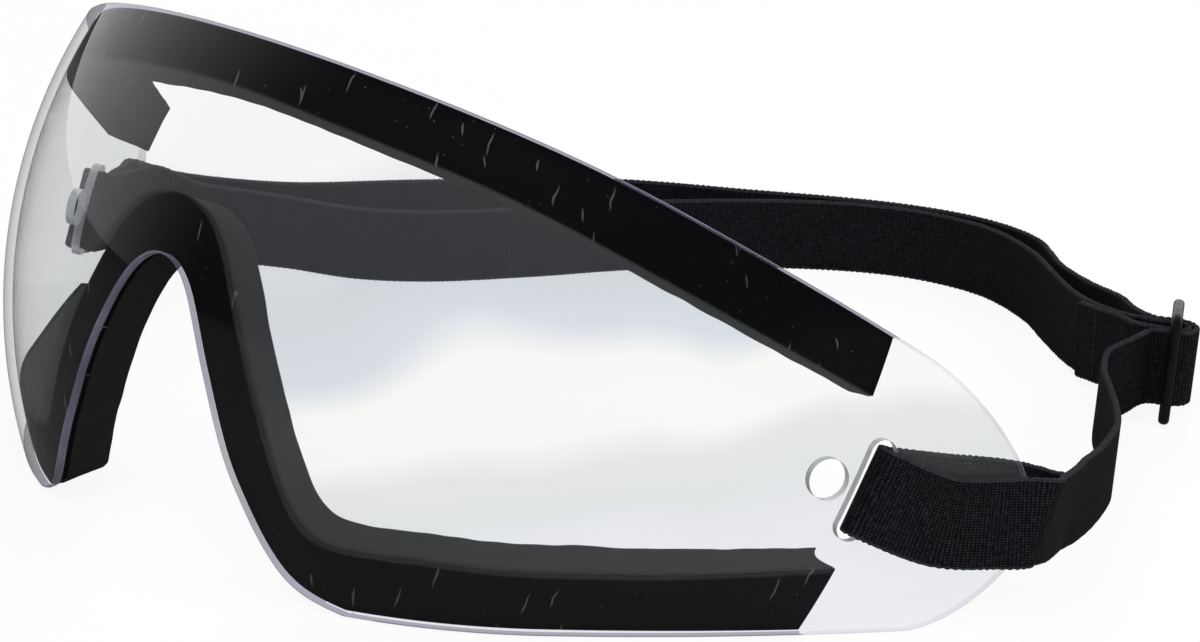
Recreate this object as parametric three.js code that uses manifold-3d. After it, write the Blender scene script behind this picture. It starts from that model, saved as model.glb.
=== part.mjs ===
// Sports protective goggles: a one-piece wrap-round lens with a brow foam and a cheek foam
// bonded inside it, and an elastic strap that is threaded through a slot in each temple end
// and adjusted by a three-bar slider.
// Millimetres, +Z up, the front of the lens faces -Y and the wearer's left is +X.
import * as THREE from 'three';
import Module from 'manifold-3d';
import { mergeVertices } from 'three/addons/utils/BufferGeometryUtils.js';

const wasm = await Module();
wasm.setup();

// Driving dimensions: the lens. Its horizontal section is a round front with nearly straight arms.
const LENS_THICKNESS = 1.6;
const FRONT_RADIUS = 87;
const ARM_RADIUS = 900;
const FRONT_REACH = 90.5; // along the lens from the nose to where the arms start
const VERTICAL_RADIUS = 93; // radius of the lens's curve from brow to cheek
const LENS_LEAN = THREE.MathUtils.degToRad(27); // how far the lens leans back at rest
const REST_HEIGHT = 69.6; // from the resting surface up to the lens's reference point
const TEMPLE_END = 156.8; // along the lens from the nose to the tip of the temple end
const TEMPLE_MIDDLE = -9; // height of that tip
const TEMPLE_ROUND_TOP = 128; // where the temple end starts to close, above and below
const TEMPLE_ROUND_BOTTOM = 144;
const CHEEK_START = 56; // where the lower edge meets the resting surface

// Vent holes and strap slots, placed along the lens and in height.
const VENT = { along: 119, height: -13.1, radius: 3.4 };
const SLOT = { along: 126.2, height: -12.5, length: 17.4, width: 4.6 };
const CUT_DEPTH = 12;

// Foams and the bonding tapes behind them.
const FIT_GAP = 0.3; // between two pieces that touch
const TAPE_THICKNESS = 0.4;
const FOAM_DEPTH = 7.6;
const EDGE_INSET = 0.8; // from the lens's edge to the foam's
const BROW_FOAM_END = 121.4;
const CHEEK_FOAM_END = 128.5;

// Webbing.
const STRAP_WIDTH = 15;
const STRAP_THICKNESS = 1.2;
const STRAP_STEP = 6;
const STRAP_REST = 7.6; // height of the strap's middle where its lower edge stands on the surface
const SLOT_FOLD = 2.2; // radius of the middle of the strap where it turns through a slot
const SLOT_FOLD_ALONG = 128; // where that turn is centred

// Slider: a flat plate with two windows, standing on the strap's width. Its face points to `faceAngle`
// round the vertical. The sewn end turns round the middle bar and the running strap over that.
const SLIDER = { centre: new THREE.Vector3(66, 194, 11.1), faceAngle: THREE.MathUtils.degToRad(30),
  height: 22, length: 14.8, thickness: 1.8, corner: 3 };
const SLIDER_BAR = 2.2;
const SLIDER_WINDOW = { height: 16.6, from: SLIDER_BAR / 2, to: 5, corner: 0.9 };
const SEWN_RADIUS = 2.4;
const RUN_RADIUS = 3.9;

// Stitching rows, raised on the outer face of the strap.
const STITCH = { length: 13, width: 0.9, thickness: 0.4 };

// The lens surface.

// A smooth curve through points, as a function of its first coordinate.
function profile(points) {
  const slope = points.map((point, i) => {
    const before = points[Math.max(i - 1, 0)];
    const after = points[Math.min(i + 1, points.length - 1)];
    return (after[1] - before[1]) / (after[0] - before[0]);
  });
  slope[0] = 0;
  return (x) => {
    const a = Math.abs(x);
    let i = points.findIndex((point) => point[0] > a) - 1;
    if (i < 0) i = points.length - 2;
    const [x0, y0] = points[i];
    const [x1, y1] = points[i + 1];
    const span = x1 - x0;
    const t = (a - x0) / span;
    const u = 1 - t;
    return y0 * u * u * (1 + 2 * t) + y1 * t * t * (1 + 2 * u)
      + span * (slope[i] * t * u * u - slope[i + 1] * t * t * u);
  };
}

// Turns the lens's upright frame into the resting frame.
function lean(vector) {
  return vector.applyAxisAngle(new THREE.Vector3(1, 0, 0), -LENS_LEAN);
}

// The lens's horizontal section: the point and the heading at a length along it from the nose.
function sectionAt(along) {
  const length = Math.abs(along);
  const frontAngle = Math.min(length, FRONT_REACH) / FRONT_RADIUS;
  const angle = frontAngle + Math.max(length - FRONT_REACH, 0) / ARM_RADIUS;
  const x = FRONT_RADIUS * Math.sin(frontAngle) + ARM_RADIUS * (Math.sin(angle) - Math.sin(frontAngle));
  const y = FRONT_RADIUS * (1 - Math.cos(frontAngle))
    + ARM_RADIUS * (Math.cos(frontAngle) - Math.cos(angle));
  return { x: Math.sign(along) * x, y, angle: Math.sign(along) * angle };
}

// A point of the lens, along it from the nose, up it and inwards from its outer face, with its frame.
function lensFrame(along, height, inward = 0) {
  const { x, y, angle } = sectionAt(along);
  const rise = Math.asin(height / VERTICAL_RADIUS);
  const outward = new THREE.Vector3(
    Math.cos(rise) * Math.sin(angle),
    -Math.cos(rise) * Math.cos(angle),
    Math.sin(rise),
  );
  const tangent = new THREE.Vector3(Math.cos(angle), Math.sin(angle), 0);
  const up = new THREE.Vector3().crossVectors(outward, tangent);
  const point = new THREE.Vector3(x, y, 0)
    .addScaledVector(new THREE.Vector3(-Math.sin(angle), Math.cos(angle), 0), VERTICAL_RADIUS)
    .addScaledVector(outward, VERTICAL_RADIUS - inward);
  lean(point).z += REST_HEIGHT;
  return { point, tangent: lean(tangent), up: lean(up), outward: lean(outward) };
}
const lensPoint = (along, height, inward) => lensFrame(along, height, inward).point;

// The height at which a layer of the lens meets the resting surface.
function restHeight(along, inward) {
  let height = -50;
  for (let i = 0; i < 12; i += 1) {
    height -= lensPoint(along, height, inward).z;
  }
  return height;
}

const browEdge = profile([[0, 19.3], [34, 18.9], [60, 18], [80, 16.4], [120, 12.1], [162, 5.6]]);
const browInner = profile([[0, 10.5], [28, 9.5], [54, 8.4], [80, 5.7], [BROW_FOAM_END, 1.7]]);
const noseEdge = profile([[0, -18.5], [4, -19.9], [7.5, -23.6], [13, -32.8], [20, -44.4], [25, -50.2],
  [31, -55.6], [37, -59.1], [44, -60.7], [CHEEK_START + 1, -61.2]]);
const noseInner = profile([[0, -8.6], [5, -9.6], [9, -12], [13, -16.8], [18.4, -25.7], [27.3, -39.6],
  [32, -45.8], [36.3, -49.9], [41, -51.8], [47, -51.8], [61, -49.1], [78, -45.3], [100, -38],
  [CHEEK_FOAM_END + 1, -25.6]]);

// How far the temple end has closed, as half an ellipse: 1 where it starts and 0 at the tip.
function templeClose(along, start) {
  const part = Math.max(Math.abs(along) - start, 0) / (TEMPLE_END - start);
  return Math.sqrt(Math.max(1 - part * part, 0));
}
function lensTop(along) {
  return TEMPLE_MIDDLE + (browEdge(along) - TEMPLE_MIDDLE) * templeClose(along, TEMPLE_ROUND_TOP);
}
function lensBottom(along, inward) {
  if (Math.abs(along) < CHEEK_START) return Math.max(noseEdge(along), restHeight(along, inward));
  const floor = restHeight(along, inward);
  return TEMPLE_MIDDLE + (floor - TEMPLE_MIDDLE) * templeClose(along, TEMPLE_ROUND_BOTTOM);
}

// Meshes.

// A closed mesh from its points and faces, turned so that its faces point out.
function closedGeometry(points, faces) {
  let volume = 0;
  faces.forEach(([a, b, c]) => {
    volume += points[a].dot(new THREE.Vector3().crossVectors(points[b], points[c]));
  });
  const index = faces.flatMap(([a, b, c]) => (volume > 0 ? [a, b, c] : [a, c, b]));
  const geometry = new THREE.BufferGeometry();
  const positions = points.flatMap((point) => point.toArray());
  geometry.setAttribute('position', new THREE.Float32BufferAttribute(positions, 3));
  geometry.setIndex(index);
  return geometry;
}

// The faces between two rings of points of equal length.
function ringFaces(from, to) {
  return from.flatMap((point, i) => {
    const next = (i + 1) % from.length;
    return [[point, from[next], to[next]], [point, to[next], to[i]]];
  });
}

// A curved plate between two layers of the lens, from a lower edge to an upper one.
function plate({ columns, rows, outer, inner, lower, upper }) {
  const points = [];
  const at = (layer, column, row) => (layer * columns.length + column) * (rows + 1) + row;
  [outer, inner].forEach((inward) => {
    columns.forEach((along) => {
      const low = lower(along, inward);
      const high = upper(along, inward);
      for (let row = 0; row <= rows; row += 1) {
        points.push(lensPoint(along, THREE.MathUtils.lerp(low, high, row / rows), inward));
      }
    });
  });
  const faces = [];
  const last = columns.length - 1;
  for (let column = 0; column < last; column += 1) {
    for (let row = 0; row < rows; row += 1) {
      const quad = (layer) => [at(layer, column, row), at(layer, column + 1, row),
        at(layer, column + 1, row + 1), at(layer, column, row + 1)];
      const [a, b, c, d] = quad(0);
      const [e, f, g, h] = quad(1);
      faces.push([a, b, c], [a, c, d], [e, g, f], [e, h, g]);
    }
  }
  const edge = (layer) => {
    const loop = [];
    for (let column = 0; column < last; column += 1) loop.push(at(layer, column, 0));
    for (let row = 0; row < rows; row += 1) loop.push(at(layer, last, row));
    for (let column = last; column > 0; column -= 1) loop.push(at(layer, column, rows));
    for (let row = rows; row > 0; row -= 1) loop.push(at(layer, 0, row));
    return loop;
  };
  faces.push(...ringFaces(edge(1), edge(0)));
  return closedGeometry(points, faces);
}

// Evenly spaced columns from one end of a plate to the other.
function columnsTo(end, count) {
  return Array.from({ length: count + 1 }, (_, i) => end * (2 * i / count - 1));
}

function toManifold(geometry) {
  const bare = geometry.clone();
  bare.deleteAttribute('normal');
  bare.deleteAttribute('uv');
  const merged = mergeVertices(bare, 1e-4);
  return new wasm.Manifold(new wasm.Mesh({
    numProp: 3,
    vertProperties: new Float32Array(merged.attributes.position.array),
    triVerts: new Uint32Array(merged.index.array),
  }));
}
function fromManifold(solid) {
  const mesh = solid.getMesh();
  const geometry = new THREE.BufferGeometry();
  geometry.setAttribute('position', new THREE.BufferAttribute(mesh.vertProperties, 3));
  geometry.setIndex(new THREE.BufferAttribute(mesh.triVerts, 1));
  return geometry;
}

// A straight prism of a flat outline, standing through the lens at one place.
function lensCutter(outline, along, height) {
  const geometry = new THREE.ExtrudeGeometry(outline, { depth: CUT_DEPTH, bevelEnabled: false,
    curveSegments: 10 });
  geometry.translate(0, 0, -CUT_DEPTH / 2);
  const { point, tangent, up, outward } = lensFrame(along, height);
  geometry.applyMatrix4(new THREE.Matrix4().makeBasis(tangent, up, outward).setPosition(point));
  return toManifold(geometry);
}
function roundOutline(radius) {
  return new THREE.Shape().absarc(0, 0, radius, 0, 2 * Math.PI);
}
function slotOutline(length, width) {
  const radius = width / 2;
  const reach = length / 2 - radius;
  return new THREE.Shape()
    .absarc(0, reach, radius, 0, Math.PI)
    .absarc(0, -reach, radius, Math.PI, 2 * Math.PI);
}

function lensGeometry() {
  const close = TEMPLE_END - 0.4;
  const even = columnsTo(140, 70);
  const tips = [143, 146, 149, 151.5, 153.6, 155.2, close];
  const columns = [...tips.map((along) => -along).reverse(), ...even, ...tips];
  const blank = plate({ columns, rows: 10, outer: 0, inner: LENS_THICKNESS,
    lower: lensBottom, upper: lensTop });
  return fromManifold([-1, 1].reduce((solid, side) => solid
    .subtract(lensCutter(roundOutline(VENT.radius), side * VENT.along, VENT.height))
    .subtract(lensCutter(slotOutline(SLOT.length, SLOT.width), side * SLOT.along, SLOT.height)),
  toManifold(blank)));
}

// A foam strip or its tape: a plate along the brow or the cheeks, between two depths.
function browStrip(outer, inner, inset) {
  return plate({ columns: columnsTo(BROW_FOAM_END - inset, 56), rows: 3, outer, inner,
    lower: (along) => browInner(along) + inset,
    upper: (along) => browEdge(along) - EDGE_INSET - inset });
}
function cheekStrip(outer, inner, inset) {
  return plate({ columns: columnsTo(CHEEK_FOAM_END - inset, 76), rows: 3, outer, inner,
    lower: (along) => lensBottom(along, 0) + EDGE_INSET + inset,
    upper: (along) => noseInner(along) - inset });
}

// Webbing: a flat ribbon along stations, each a middle point and the direction of its width.
function webbing(stations) {
  const middle = new THREE.CatmullRomCurve3(stations.map(({ point }) => point), false, 'centripetal');
  const points = [];
  const ring = (from, part) => {
    const t = (from + part) / (stations.length - 1);
    const forward = middle.getTangent(t);
    const across = stations[from].width.clone();
    if (part > 0) across.lerp(stations[from + 1].width, part);
    across.addScaledVector(forward, -across.dot(forward)).normalize();
    const normal = new THREE.Vector3().crossVectors(forward, across);
    [[-1, -1], [1, -1], [1, 1], [-1, 1]].forEach(([u, v]) => points.push(middle.getPoint(t)
      .addScaledVector(across, u * STRAP_WIDTH / 2)
      .addScaledVector(normal, v * STRAP_THICKNESS / 2)));
  };
  for (let i = 0; i < stations.length - 1; i += 1) {
    const gap = stations[i].point.distanceTo(stations[i + 1].point);
    const parts = Math.max(1, Math.round(gap / STRAP_STEP));
    for (let part = 0; part < parts; part += 1) ring(i, part / parts);
  }
  ring(stations.length - 1, 0);
  const corners = (start) => [start, start + 1, start + 2, start + 3];
  const [a, b, c, d] = corners(points.length - 4);
  const faces = [[0, 2, 1], [0, 3, 2], [a, b, c], [a, c, d]];
  for (let start = 0; start < points.length - 4; start += 4) {
    faces.push(...ringFaces(corners(start), corners(start + 4)));
  }
  return closedGeometry(points, faces);
}

const UPRIGHT = new THREE.Vector3(0, 0, 1);
const station = (x, y, z = STRAP_REST, width = UPRIGHT) => ({ point: new THREE.Vector3(x, y, z), width });

// A station beside the lens: along it, inwards from its outer face and up it.
function besideLens(side, along, inward, height = SLOT.height) {
  return { point: lensPoint(side * along, height, inward), width: lensFrame(side * along, height).up };
}

// The strap's turn through a slot, from inside the lens to outside it, with both layers on to the tip.
function slotTurn(side) {
  const arc = [-90, -60, -30, 0, 30, 60, 90].map((degrees) => {
    const angle = THREE.MathUtils.degToRad(degrees);
    return besideLens(side, SLOT_FOLD_ALONG - SLOT_FOLD * Math.cos(angle),
      LENS_THICKNESS / 2 - SLOT_FOLD * Math.sin(angle));
  });
  return [
    besideLens(side, 152, 4.6, -6.4), besideLens(side, 140, 3.6, -9.6), ...arc,
    besideLens(side, 140, -1.7, -12.2), besideLens(side, 150, -2.1, -8.9),
    besideLens(side, 156.6, -2.3, -6.3),
  ];
}

// A station at the slider: across its length and out from its face.
const sliderFace = new THREE.Vector3(1, 0, 0).applyAxisAngle(UPRIGHT, SLIDER.faceAngle);
const sliderLength = new THREE.Vector3(0, 1, 0).applyAxisAngle(UPRIGHT, SLIDER.faceAngle);
function besideSlider(across, out, lower = 0) {
  const point = SLIDER.centre.clone().addScaledVector(sliderLength, across).addScaledVector(sliderFace, out);
  point.z -= lower;
  return { point, width: UPRIGHT };
}
function barTurn(radius) {
  return [-90, -60, -30, 0, 30, 60, 90].map((degrees) => {
    const angle = THREE.MathUtils.degToRad(degrees);
    return besideSlider(radius * Math.sin(angle), radius * Math.cos(angle));
  });
}

const leaning = new THREE.Vector3(0.02, 0.19, 1).normalize();
const strapPath = [
  station(99.1, 104.4, 13.2, leaning), station(100.2, 100.8, 14.2, leaning),
  station(101, 93, 16.6, leaning),
  ...slotTurn(1),
  station(105.8, 93.6, 16.4, leaning), station(101.7, 102.7, 13.8, leaning),
  station(97.8, 111.2, 11.6, leaning), station(94.7, 119.4, 10), station(91.5, 128.6, 8.7),
  station(88, 138, 8), station(84.2, 146.6, 7.7), station(79.4, 153.6),
  station(72.6, 162), station(66.4, 169.6, 8), station(62.3, 176.5, 9), besideSlider(-8.7, -8.6, 0.9),
  besideSlider(-RUN_RADIUS - 0.1, -4, 0.1),
  ...barTurn(RUN_RADIUS),
  besideSlider(RUN_RADIUS + 0.2, -3.8, 0.1), besideSlider(11, -8, 1.1), station(45, 207.6, 8.6),
  station(34.5, 213), station(24.5, 218), station(18, 223.6), station(12, 228.4), station(3, 231),
  station(-8, 230), station(-20, 225), station(-33, 216), station(-45, 206), station(-66, 188.5),
  station(-79, 170.4), station(-91, 151), station(-102.6, 127, 8.2), station(-107.2, 108, 11.4, leaning),
  station(-107.6, 94.4, 15.2, leaning),
  ...slotTurn(-1).reverse(),
  station(-99.6, 95, 14.6, leaning), station(-99.8, 108, 10.8, leaning), station(-94.6, 119.6, 8.4),
  station(-84, 127.4), station(-74, 138), station(-63.5, 158), station(-53.7, 180), station(-34.5, 208.6),
  station(-20, 221.6), station(-9, 226), station(2, 226.4), station(16, 220.4), station(26, 212.6),
  station(35.6, 205.4), besideSlider(15.6, -16.4, 2.4), besideSlider(6, -9, 1),
  besideSlider(SEWN_RADIUS, -4),
  ...barTurn(SEWN_RADIUS).reverse(),
  besideSlider(-SEWN_RADIUS + 0.3, -3.8), besideSlider(0.2, -7.4, 0.5), besideSlider(4.8, -10.6, 1),
  besideSlider(9.5, -14.4, 1.7), besideSlider(14.3, -18.1, 2.4),
];

// A stitching row lying across the strap at one of its stations, raised from one of its faces.
const strapMiddle = new THREE.CatmullRomCurve3(strapPath.map(({ point }) => point), false, 'centripetal');
function stitching(index, face) {
  const { point, width } = strapPath[index];
  const forward = strapMiddle.getTangent(index / (strapPath.length - 1));
  const outward = new THREE.Vector3().crossVectors(forward, width).multiplyScalar(face).normalize();
  const across = new THREE.Vector3().crossVectors(outward, forward);
  const raise = (STRAP_THICKNESS + STITCH.thickness) / 2 + FIT_GAP;
  const geometry = new THREE.BoxGeometry(STITCH.width, STITCH.length, STITCH.thickness);
  geometry.applyMatrix4(new THREE.Matrix4().makeBasis(forward, across, outward)
    .setPosition(point.clone().addScaledVector(outward, raise)));
  return fromManifold(toManifold(geometry));
}

function sliderGeometry() {
  const rounded = (path, x, y, width, height, radius) => path
    .moveTo(x + radius, y)
    .lineTo(x + width - radius, y)
    .absarc(x + width - radius, y + radius, radius, -Math.PI / 2, 0)
    .absarc(x + width - radius, y + height - radius, radius, 0, Math.PI / 2)
    .absarc(x + radius, y + height - radius, radius, Math.PI / 2, Math.PI)
    .absarc(x + radius, y + radius, radius, Math.PI, 1.5 * Math.PI);
  const { length, height, thickness, corner } = SLIDER;
  const outline = rounded(new THREE.Shape(), -length / 2, -height / 2, length, height, corner);
  const opening = SLIDER_WINDOW;
  [-opening.to, opening.from].forEach((x) => outline.holes.push(rounded(new THREE.Path(), x,
    -opening.height / 2, opening.to - opening.from, opening.height, opening.corner)));
  const geometry = new THREE.ExtrudeGeometry(outline, { depth: thickness, bevelEnabled: false,
    curveSegments: 6 });
  geometry.translate(0, 0, -thickness / 2);
  geometry.applyMatrix4(new THREE.Matrix4().makeBasis(sliderLength, UPRIGHT, sliderFace)
    .setPosition(SLIDER.centre));
  return fromManifold(toManifold(geometry));
}

const group = new THREE.Group();
function add(name, geometry, color, roughness) {
  const mesh = new THREE.Mesh(geometry, new THREE.MeshStandardMaterial({ color, roughness, metalness: 0 }));
  mesh.name = name;
  group.add(mesh);
}
const tapeOuter = LENS_THICKNESS + FIT_GAP;
const foamOuter = tapeOuter + TAPE_THICKNESS + FIT_GAP;
add('lens', lensGeometry(), 0xdfe6ea, 0.05);
add('brow_tape', browStrip(tapeOuter, tapeOuter + TAPE_THICKNESS, 0.5), 0x08090a, 0.5);
add('brow_foam', browStrip(foamOuter, foamOuter + FOAM_DEPTH, 0), 0x2b2e2f, 0.95);
add('cheek_tape', cheekStrip(tapeOuter, tapeOuter + TAPE_THICKNESS, 0.5), 0x08090a, 0.5);
add('cheek_foam', cheekStrip(foamOuter, foamOuter + FOAM_DEPTH, 0), 0x2b2e2f, 0.95);
add('strap', webbing(strapPath), 0x16161a, 0.9);
add('slider', sliderGeometry(), 0x0c0c0e, 0.25);

add('loop_stitching', stitching(16, 1), 0x101012, 0.7);
add('slider_stitching', stitching(strapPath.length - 2, -1), 0x101012, 0.7);

const middle = new THREE.Box3().setFromObject(group).getCenter(new THREE.Vector3());
group.position.set(-middle.x, -middle.y, 0);
export default group;
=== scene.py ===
"""Looks for the sports protective goggles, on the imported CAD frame."""

import math

import bpy
import numpy as np
from mathutils import Matrix, Vector, noise


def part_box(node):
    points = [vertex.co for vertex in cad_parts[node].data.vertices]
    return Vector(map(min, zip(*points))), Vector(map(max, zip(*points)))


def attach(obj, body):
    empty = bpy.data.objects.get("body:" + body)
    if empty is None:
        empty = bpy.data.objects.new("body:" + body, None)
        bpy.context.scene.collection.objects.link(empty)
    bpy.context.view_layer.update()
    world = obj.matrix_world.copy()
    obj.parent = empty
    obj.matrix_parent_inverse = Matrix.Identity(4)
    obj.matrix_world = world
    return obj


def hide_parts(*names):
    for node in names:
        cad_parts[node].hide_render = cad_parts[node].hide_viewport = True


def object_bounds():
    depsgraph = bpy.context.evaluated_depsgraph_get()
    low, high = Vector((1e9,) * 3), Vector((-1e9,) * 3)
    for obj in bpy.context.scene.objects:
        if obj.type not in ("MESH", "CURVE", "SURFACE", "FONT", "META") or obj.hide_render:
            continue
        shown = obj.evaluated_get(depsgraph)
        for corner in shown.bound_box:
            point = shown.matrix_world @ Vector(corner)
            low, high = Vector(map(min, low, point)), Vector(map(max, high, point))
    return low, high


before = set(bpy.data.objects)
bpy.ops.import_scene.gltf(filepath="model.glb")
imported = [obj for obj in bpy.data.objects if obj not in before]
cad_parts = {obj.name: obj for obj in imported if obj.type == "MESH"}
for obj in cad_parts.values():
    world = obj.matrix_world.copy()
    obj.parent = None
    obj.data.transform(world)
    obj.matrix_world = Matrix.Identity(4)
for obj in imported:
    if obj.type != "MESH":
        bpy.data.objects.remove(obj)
cad_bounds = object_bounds()

MM = 0.001

# Driving dimensions, in millimetres: the CAD part's, and beside them what only the looks need.
LENS_THICKNESS, LENS_INDEX = 1.6, 1.5
LENS_COLUMN, LENS_ROWS, BROAD_FACING = 1.0, 64, 0.9
FRONT_RADIUS, ARM_RADIUS, FRONT_REACH = 87.0, 900.0, 90.5
VERTICAL_RADIUS = 93.0
LENS_LEAN = math.radians(27)
REST_HEIGHT = 69.6
TEMPLE_END, TEMPLE_MIDDLE = 156.8, -9.0
TEMPLE_ROUND_TOP, TEMPLE_ROUND_BOTTOM = 128.0, 144.0
CHEEK_START = 56.0
VENT = {"along": 119.0, "height": -13.1, "radius": 3.4}
SLOT = {"along": 126.2, "height": -12.5, "length": 17.4, "width": 4.6}
TAPE_OUTER, TAPE_INNER = 1.72, 2.5
FOAM_OUTER, FOAM_INNER = 2.5, 10.2
EDGE_INSET, PAD_COLUMN, SCOOP_DEPTH = 0.05, 0.9, 1.6
BROW_FOAM_END, CHEEK_FOAM_END = 121.4, 128.5
FOAM_SEED = 1
STRAP_WIDTH, STRAP_THICKNESS = 15.0, 1.2
RIB_PITCH, COURSE_PITCH, TOOTH_PITCH, TOOTH = 0.44, 0.66, 1.25, 0.11
STITCHES, STITCH_PITCH, STITCH_RINGS, STITCH_SIDES = 11, 1.18, 6, 8
STITCH = {"radius": 0.17, "reach": 0.46, "slant": 0.12, "sink": 0.25, "rise": 0.12}
STRAP_REST, STRAP_STEP = 7.6, 0.55
PALE_SELVEDGE, TOOTHED_SELVEDGE = 0.55, 0.5
SLOT_FOLD, SLOT_FOLD_ALONG = 2.2, 128.0
SLIDER_CENTRE = np.array([66.0, 194.0, 11.1])
SLIDER_ANGLE = math.radians(30)
SLIDER = {"height": 22.0, "length": 14.8, "thickness": 2.1, "corner": 3.0, "edge": 0.9}
SLIDER_WINDOW = {"height": 16.6, "from": 1.1, "to": 5.0, "corner": 0.9}
SEWN_RADIUS, RUN_RADIUS = 2.4, 3.9

# The part's own zero is the middle of its footprint: the slider says where that is.
low_corner, high_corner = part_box("slider")
SHIFT = np.array((low_corner + high_corner) / 2) / MM - SLIDER_CENTRE


def metres(points):
    return (np.asarray(points, float) + SHIFT) * MM


# The lens surface.


def profile(points):
    """A smooth curve through points, as a function of its first coordinate."""
    xs, ys = np.array(points, float).T
    slope = np.empty_like(xs)
    slope[1:-1] = (ys[2:] - ys[:-2]) / (xs[2:] - xs[:-2])
    slope[0], slope[-1] = 0.0, (ys[-1] - ys[-2]) / (xs[-1] - xs[-2])

    def curve(x):
        a = np.abs(np.asarray(x, float))
        i = np.clip(np.searchsorted(xs, a, side="right") - 1, 0, len(xs) - 2)
        span = xs[i + 1] - xs[i]
        t = (a - xs[i]) / span
        u = 1 - t
        return (
            ys[i] * u * u * (1 + 2 * t)
            + ys[i + 1] * t * t * (1 + 2 * u)
            + span * (slope[i] * t * u * u - slope[i + 1] * t * t * u)
        )

    return curve


def lean(v):
    c, s = math.cos(LENS_LEAN), math.sin(LENS_LEAN)
    return np.stack([v[..., 0], v[..., 1] * c + v[..., 2] * s, v[..., 2] * c - v[..., 1] * s], -1)


def unlean(v):
    c, s = math.cos(LENS_LEAN), math.sin(LENS_LEAN)
    return np.stack([v[..., 0], v[..., 1] * c - v[..., 2] * s, v[..., 2] * c + v[..., 1] * s], -1)


def lens_frame(along, height, inward=0.0):
    along, height, inward = np.broadcast_arrays(
        np.asarray(along, float), np.asarray(height, float), np.asarray(inward, float)
    )
    length, side = np.abs(along), np.sign(along)
    front = np.minimum(length, FRONT_REACH) / FRONT_RADIUS
    angle = front + np.maximum(length - FRONT_REACH, 0) / ARM_RADIUS
    x = FRONT_RADIUS * np.sin(front) + ARM_RADIUS * (np.sin(angle) - np.sin(front))
    y = FRONT_RADIUS * (1 - np.cos(front)) + ARM_RADIUS * (np.cos(front) - np.cos(angle))
    x, angle = x * side, angle * side
    rise = np.arcsin(height / VERTICAL_RADIUS)
    cr, ca, sa = np.cos(rise), np.cos(angle), np.sin(angle)
    outward = np.stack([cr * sa, -cr * ca, np.sin(rise)], -1)
    tangent = np.stack([ca, sa, np.zeros_like(ca)], -1)
    up = np.cross(outward, tangent)
    axis = np.stack([x - VERTICAL_RADIUS * sa, y + VERTICAL_RADIUS * ca, np.zeros_like(x)], -1)
    point = lean(axis + outward * (VERTICAL_RADIUS - inward)[..., None])
    point[..., 2] += REST_HEIGHT
    return point, lean(tangent), lean(up), lean(outward)


def lens_place(points):
    """Where points given in metres lie on the lens: along, height and the outward direction."""
    p = points / MM - SHIFT
    p = unlean(p - np.array([0, 0, REST_HEIGHT]))
    side = np.where(p[:, 0] < 0, -1.0, 1.0)
    x, y, z = np.abs(p[:, 0]), p[:, 1], p[:, 2]
    end = FRONT_REACH / FRONT_RADIUS
    a_front = np.arctan2(x, FRONT_RADIUS - y)
    r_front = np.hypot(x, FRONT_RADIUS - y) - FRONT_RADIUS + VERTICAL_RADIUS
    cx = (FRONT_RADIUS - ARM_RADIUS) * math.sin(end)
    cy = FRONT_RADIUS * (1 - math.cos(end)) + ARM_RADIUS * math.cos(end)
    a_arm = np.arctan2(x - cx, cy - y)
    r_arm = np.hypot(x - cx, cy - y) - ARM_RADIUS + VERTICAL_RADIUS
    on_front = a_front <= end
    angle = np.where(on_front, a_front, a_arm)
    along = np.where(on_front, angle * FRONT_RADIUS, FRONT_REACH + (angle - end) * ARM_RADIUS) * side
    angle = angle * side
    rise = np.arctan2(z, np.where(on_front, r_front, r_arm))
    out = np.stack([np.cos(rise) * np.sin(angle), -np.cos(rise) * np.cos(angle), np.sin(rise)], -1)
    return along, VERTICAL_RADIUS * np.sin(rise), lean(out)


def rest_height(along, inward):
    height = np.full(np.shape(along), -50.0)
    for _ in range(14):
        height = height - lens_frame(along, height, inward)[0][..., 2]
    return height


# The outlines: how high each one is (or how low) at distances along the lens from its middle.
brow_edge = profile([[0, 19.3], [34, 18.9], [60, 18], [80, 16.4], [120, 12.1], [162, 5.6]])
brow_inner = profile([[0, 10.5], [28, 9.5], [54, 8.4], [80, 5.7], [BROW_FOAM_END, 1.7]])
nose_edge = profile(
    [[0, -18.5], [4, -19.9], [7.5, -23.6], [13, -32.8], [20, -44.4], [25, -50.2], [31, -55.6],
     [37, -59.1], [44, -60.7], [CHEEK_START + 1, -61.2]]
)
nose_inner = profile(
    [[0, -8.6], [5, -9.6], [9, -12], [13, -16.8], [18.4, -25.7], [27.3, -39.6], [32, -45.8],
     [36.3, -49.9], [41, -51.8], [47, -51.8], [61, -49.1], [78, -45.3], [100, -38],
     [CHEEK_FOAM_END + 1, -25.6]]
)


def temple_close(along, start):
    part = np.maximum(np.abs(along) - start, 0) / (TEMPLE_END - start)
    return np.sqrt(np.maximum(1 - part * part, 0))


def lens_top(along, inward):
    return TEMPLE_MIDDLE + (brow_edge(along) - TEMPLE_MIDDLE) * temple_close(along, TEMPLE_ROUND_TOP)


def lens_bottom(along, inward):
    floor = rest_height(along, inward)
    nose = np.maximum(nose_edge(np.minimum(np.abs(along), CHEEK_START)), floor)
    temple = TEMPLE_MIDDLE + (floor - TEMPLE_MIDDLE) * temple_close(along, TEMPLE_ROUND_BOTTOM)
    return np.where(np.abs(along) < CHEEK_START, nose, temple)


# Meshes.


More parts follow.
